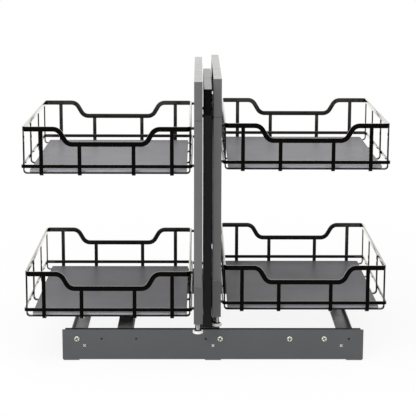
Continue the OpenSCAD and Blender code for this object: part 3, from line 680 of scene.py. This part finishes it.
# %% Basket mesh
def mesh_from(shape, name):
    bmesh.ops.recalc_face_normals(shape, faces=shape.faces)
    for face in shape.faces:
        face.smooth = True
    mesh = bpy.data.meshes.new(name)
    shape.to_mesh(mesh)
    shape.free()
    return mesh


def u_path(half, base, top, across, along_y):
    # a strip that runs under the floor and up both sides
    bend = strip_r - strip_t / 2
    line = [(-half, top)] + arc((-half + bend, base + bend), bend, 180, 270, strip_steps)
    line += [(-s, z) for s, z in reversed(line)]
    side = Vector((1, 0, 0)) if along_y else Vector((0, 1, 0))
    return [(Vector((across, s, z)) if along_y else Vector((s, across, z)), side) for s, z in line]


def basket_mesh():
    shape = bmesh.new()
    sweep(shape, rim_path(), strip_section(rim_t, rim_h, rim_round), True)
    x_half, y_half = basket_w / 2 - rim_t / 2, basket_d / 2 - rim_t / 2
    band_x, band_y = x_half + strip_t / 2 + band_t / 2, y_half - strip_t / 2 - band_t / 2
    band = []
    for quarter in range(len(corners)):
        band += round_corner(quarter, band_x, band_y, band_r, band_z, band_steps)
    sweep(shape, band, strip_section(band_t, band_h, band_round), True)
    low = basket_h - rim_h
    flat = strip_section(strip_w, strip_t, strip_round)
    for across in strips_over_depth:
        top = low - dip if abs(across) < dip_half else low
        sweep(shape, u_path(y_half, strip_t / 2, top + weld, across, True), flat, False)
    for across in strips_over_width:
        sweep(shape, u_path(x_half, 1.5 * strip_t, low + weld, across, False), flat, False)
    return mesh_from(shape, "wire_basket")


wire = basket_mesh()
wire.materials.append(finishes["black_nickel"])
print("basket faces:", len(wire.polygons))

# %% Four baskets
for side in ("left", "right"):
    for level in ("upper", "lower"):
        node = f"{side}_{level}_basket"
        low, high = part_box(node)
        spot = ((low.x + high.x) / 2, (low.y + high.y) / 2, low.z)
        obj = place_piece("wire_" + node, wire, [], body_of[node], [node], spot)
        obj.modifiers.new("flat_faces_stay_flat", "WEIGHTED_NORMAL")

# %% [markdown]
# ## Glide feet
# Each frame has one adjustable foot: a zinc-plated threaded stem in a white moulded pad with a black
# washer on top. Both are round, so both are rings joined one above the other. A screw modifier
# could spin the pad's profile, but the rings serve the stem and the screw heads as well.

# %% Turning helpers
def turned(shape, rings):
    rows = [[shape.verts.new(point) for point in ring] for ring in rings]
    count = len(rows[0])
    for lower, upper in zip(rows, rows[1:]):
        for k in range(count):
            shape.faces.new((lower[k], lower[(k + 1) % count], upper[(k + 1) % count], upper[k]))
    shape.faces.new(rows[0][::-1])
    shape.faces.new(rows[-1])


def ring_point(radius, height, k, count, place):
    angle = 2 * math.pi * k / count
    return place @ Vector((radius * math.cos(angle), radius * math.sin(angle), height)) * mm


def circle_of(radius, height, count, place):
    return [ring_point(radius, height, k, count, place) for k in range(count)]


def foot_of(node):
    # the middle of a node's lower face, in millimetres
    low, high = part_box(node)
    return Matrix.Translation(((low.x + high.x) / 2 / mm, (low.y + high.y) / 2 / mm, low.z / mm))


print("left pad stands at", [round(c, 1) for c in foot_of("left_foot_pad").translation], "mm")

# %% Pads
pad_profile = [(10.6, 0), (11.7, 0.25), (12.3, 0.9), (12.5, 1.8), (12.5, 4.9), (12.35, 5.6), (11.8, 6.2),
               (10.4, 6.6), (9.0, 6.8), (8.7, 7.2), (8.5, 7.7), (7.3, 7.8), (6.6, 8.0)]
washer_from, pad_sides = 6.85, 56


def glide_pad(side):
    node = f"{side}_foot_pad"
    place, floor_z = foot_of(node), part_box(node)[0].z
    shape = bmesh.new()
    turned(shape, [circle_of(radius, height, pad_sides, place) for radius, height in pad_profile])
    for face in shape.faces:
        if face.calc_center_median().z - floor_z > washer_from * mm:
            face.material_index = 1
    name = f"{side}_glide_pad"
    place_piece(name, mesh_from(shape, name), ["white_plastic", "black_rubber"], f"{side}_foot", [node])


print("pad", 2 * max(radius for radius, height in pad_profile), "mm across")

# %% [markdown]
# ### Threaded stems
# A stack of plain rings would give grooves, not a thread. Here each point's radius depends on its
# height and its angle together, so the crest climbs one pitch in a turn the way a cut thread does.

# %% Stems
stem_r, pitch, thread_depth, crest = 5.0, 1.75, 0.75, 1.3
stem_sides, rows_per_turn = 30, 6


def threaded_stem(side):
    node = f"{side}_foot_stem"
    low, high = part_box(node)
    place, tall = foot_of(node), (high.z - low.z) / mm
    rows = int(tall / pitch * rows_per_turn)
    rings = []
    for i in range(rows + 1):
        height, ring = tall * i / rows, []
        for k in range(stem_sides):
            flank = abs(2 * ((height / pitch - k / stem_sides) % 1.0) - 1)
            radius = stem_r - thread_depth * (1 - min(1, crest * flank))
            ring.append(ring_point(radius, height, k, stem_sides, place))
        rings.append(ring)
    shape = bmesh.new()
    turned(shape, rings)
    name = f"{side}_threaded_stem"
    place_piece(name, mesh_from(shape, name), ["thread_zinc"], f"{side}_foot", [node])
    return rows


for side in ("left", "right"):
    glide_pad(side)
    print(side, "foot ready, stem rows:", threaded_stem(side))

# %% [markdown]
# ## Screws in the base
# Domed pan-head screws hold the rails. The driver slot could be cut with a boolean, but on such a
# small head that leaves ragged faces. A dome is a set of rings here, and where a point falls inside
# the cross it sinks, which makes the slot; the slot's faces take a dark finish, painted shade for
# the recess.

# %% Places on the plates
plate_low, plate_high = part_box("base_front_plate")
plate_mid = (plate_low.x + plate_high.x) / 2 / mm
plate_half = (plate_high.x - plate_low.x) / 2 / mm
plate_face = plate_low.y / mm


def middle_height(node):
    low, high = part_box(node)
    return (low.z + high.z) / 2 / mm


def on_plate(x, z, front, spin):
    # a place on the outer face of the front or rear plate, looking out
    spot = Matrix.Translation((plate_mid + x, plate_face if front else -plate_face, z))
    facing = Matrix.Rotation(math.radians(90 if front else -90), 4, "X")
    return spot @ facing @ Matrix.Rotation(math.radians(spin), 4, "Z")


print("plate", round(2 * plate_half, 1), "mm long")

# %% Pan head shape
head_r, head_tall, head_rim, head_tip = 6.5, 2.8, 0.9, 0.02
slot_half, slot_long, slot_deep, slot_ramp = 1.1, 5.0, 1.7, 0.8
head_steps, head_sides = 14, 64


def in_slot(x, y):
    across, along = sorted((abs(x), abs(y)))
    return across < slot_half and along < slot_long


def domed_head(shape, place):
    rings = [circle_of(head_r, 0, head_sides, place)]
    for i in range(head_steps + 1):
        r, ring = head_r * (1 - i / head_steps) + head_tip, []
        for k in range(head_sides):
            angle = 2 * math.pi * k / head_sides
            x, y = r * math.cos(angle), r * math.sin(angle)
            height = head_rim + (head_tall - head_rim) * math.sqrt(max(0, 1 - (r / head_r) ** 2))
            if in_slot(x, y):
                height -= slot_deep * min(1, (slot_long - max(abs(x), abs(y))) / slot_ramp)
            ring.append(place @ Vector((x, y, height)) * mm)
        rings.append(ring)
    first = len(shape.faces)
    turned(shape, rings)
    shape.faces.ensure_lookup_table()
    for face in shape.faces[first:]:
        spot = place.inverted() @ (face.calc_center_median() / mm)
        # painted shade: the slot's faces take the dark finish
        if in_slot(spot.x, spot.y):
            face.material_index = 1


print("pan heads", 2 * head_r, "mm across")

# %% Pan heads on the plates
end_inset, near_middle, right_shares = 35.5, 17.6, (0.51, 0.74)
first_spin, spin_step = 25, 31
rail_z = middle_height("front_rail")
screw_x = [-(plate_half - end_inset), near_middle] + [share * plate_half for share in right_shares]

shape = bmesh.new()
for front in (True, False):
    for number, x in enumerate(screw_x):
        domed_head(shape, on_plate(x, rail_z, front, first_spin + spin_step * number))
place_piece("pan_screws", mesh_from(shape, "pan_screws"), ["screw_zinc", "dark_joint_and_slot_shade"], "base",
            ["rail_screws"])
print("screw heads at", [round(x, 1) for x in screw_x])

# %% [markdown]
# ### Flush cross heads
# The floor bars are held by flush heads, painted over, whose bright cross catches the light. A flat
# picture of a cross would vanish at a low angle, so each is a thin disc with two bars laid across it.

# %% Flush cross heads
star_inset, star_spin, disc_sides = 54, 45, 48
star_z = middle_height("star_fixings")
disc_profile = [(4.4, -0.4), (4.4, 0.05), (4.2, 0.12), (0.05, 0.2)]
arm_size, arm_round = (8.6, 1.6, 0.5), 0.18


def cross_head(shape, place):
    turned(shape, [circle_of(radius, height, disc_sides, place) for radius, height in disc_profile])
    for spin in (0, 90):
        arm = place @ Matrix.Rotation(math.radians(spin), 4, "Z") @ Matrix.Diagonal((*arm_size, 1))
        made = bmesh.ops.create_cube(shape, size=1, matrix=Matrix.Scale(mm, 4) @ arm)
        faces = {face for vert in made["verts"] for face in vert.link_faces}
        for face in faces:
            face.material_index = 1
        edges = list({edge for face in faces for edge in face.edges})
        bmesh.ops.bevel(shape, geom=edges, offset=arm_round * mm, segments=2, profile=0.5, affect="EDGES",
                        material=1)


shape = bmesh.new()
for front in (True, False):
    for x in (-(plate_half - star_inset), 0, plate_half - star_inset):
        cross_head(shape, on_plate(x, star_z, front, star_spin))
place_piece("cross_heads", mesh_from(shape, "cross_heads"), ["base_paint", "bright_zinc"], "base",
            ["star_fixings"])
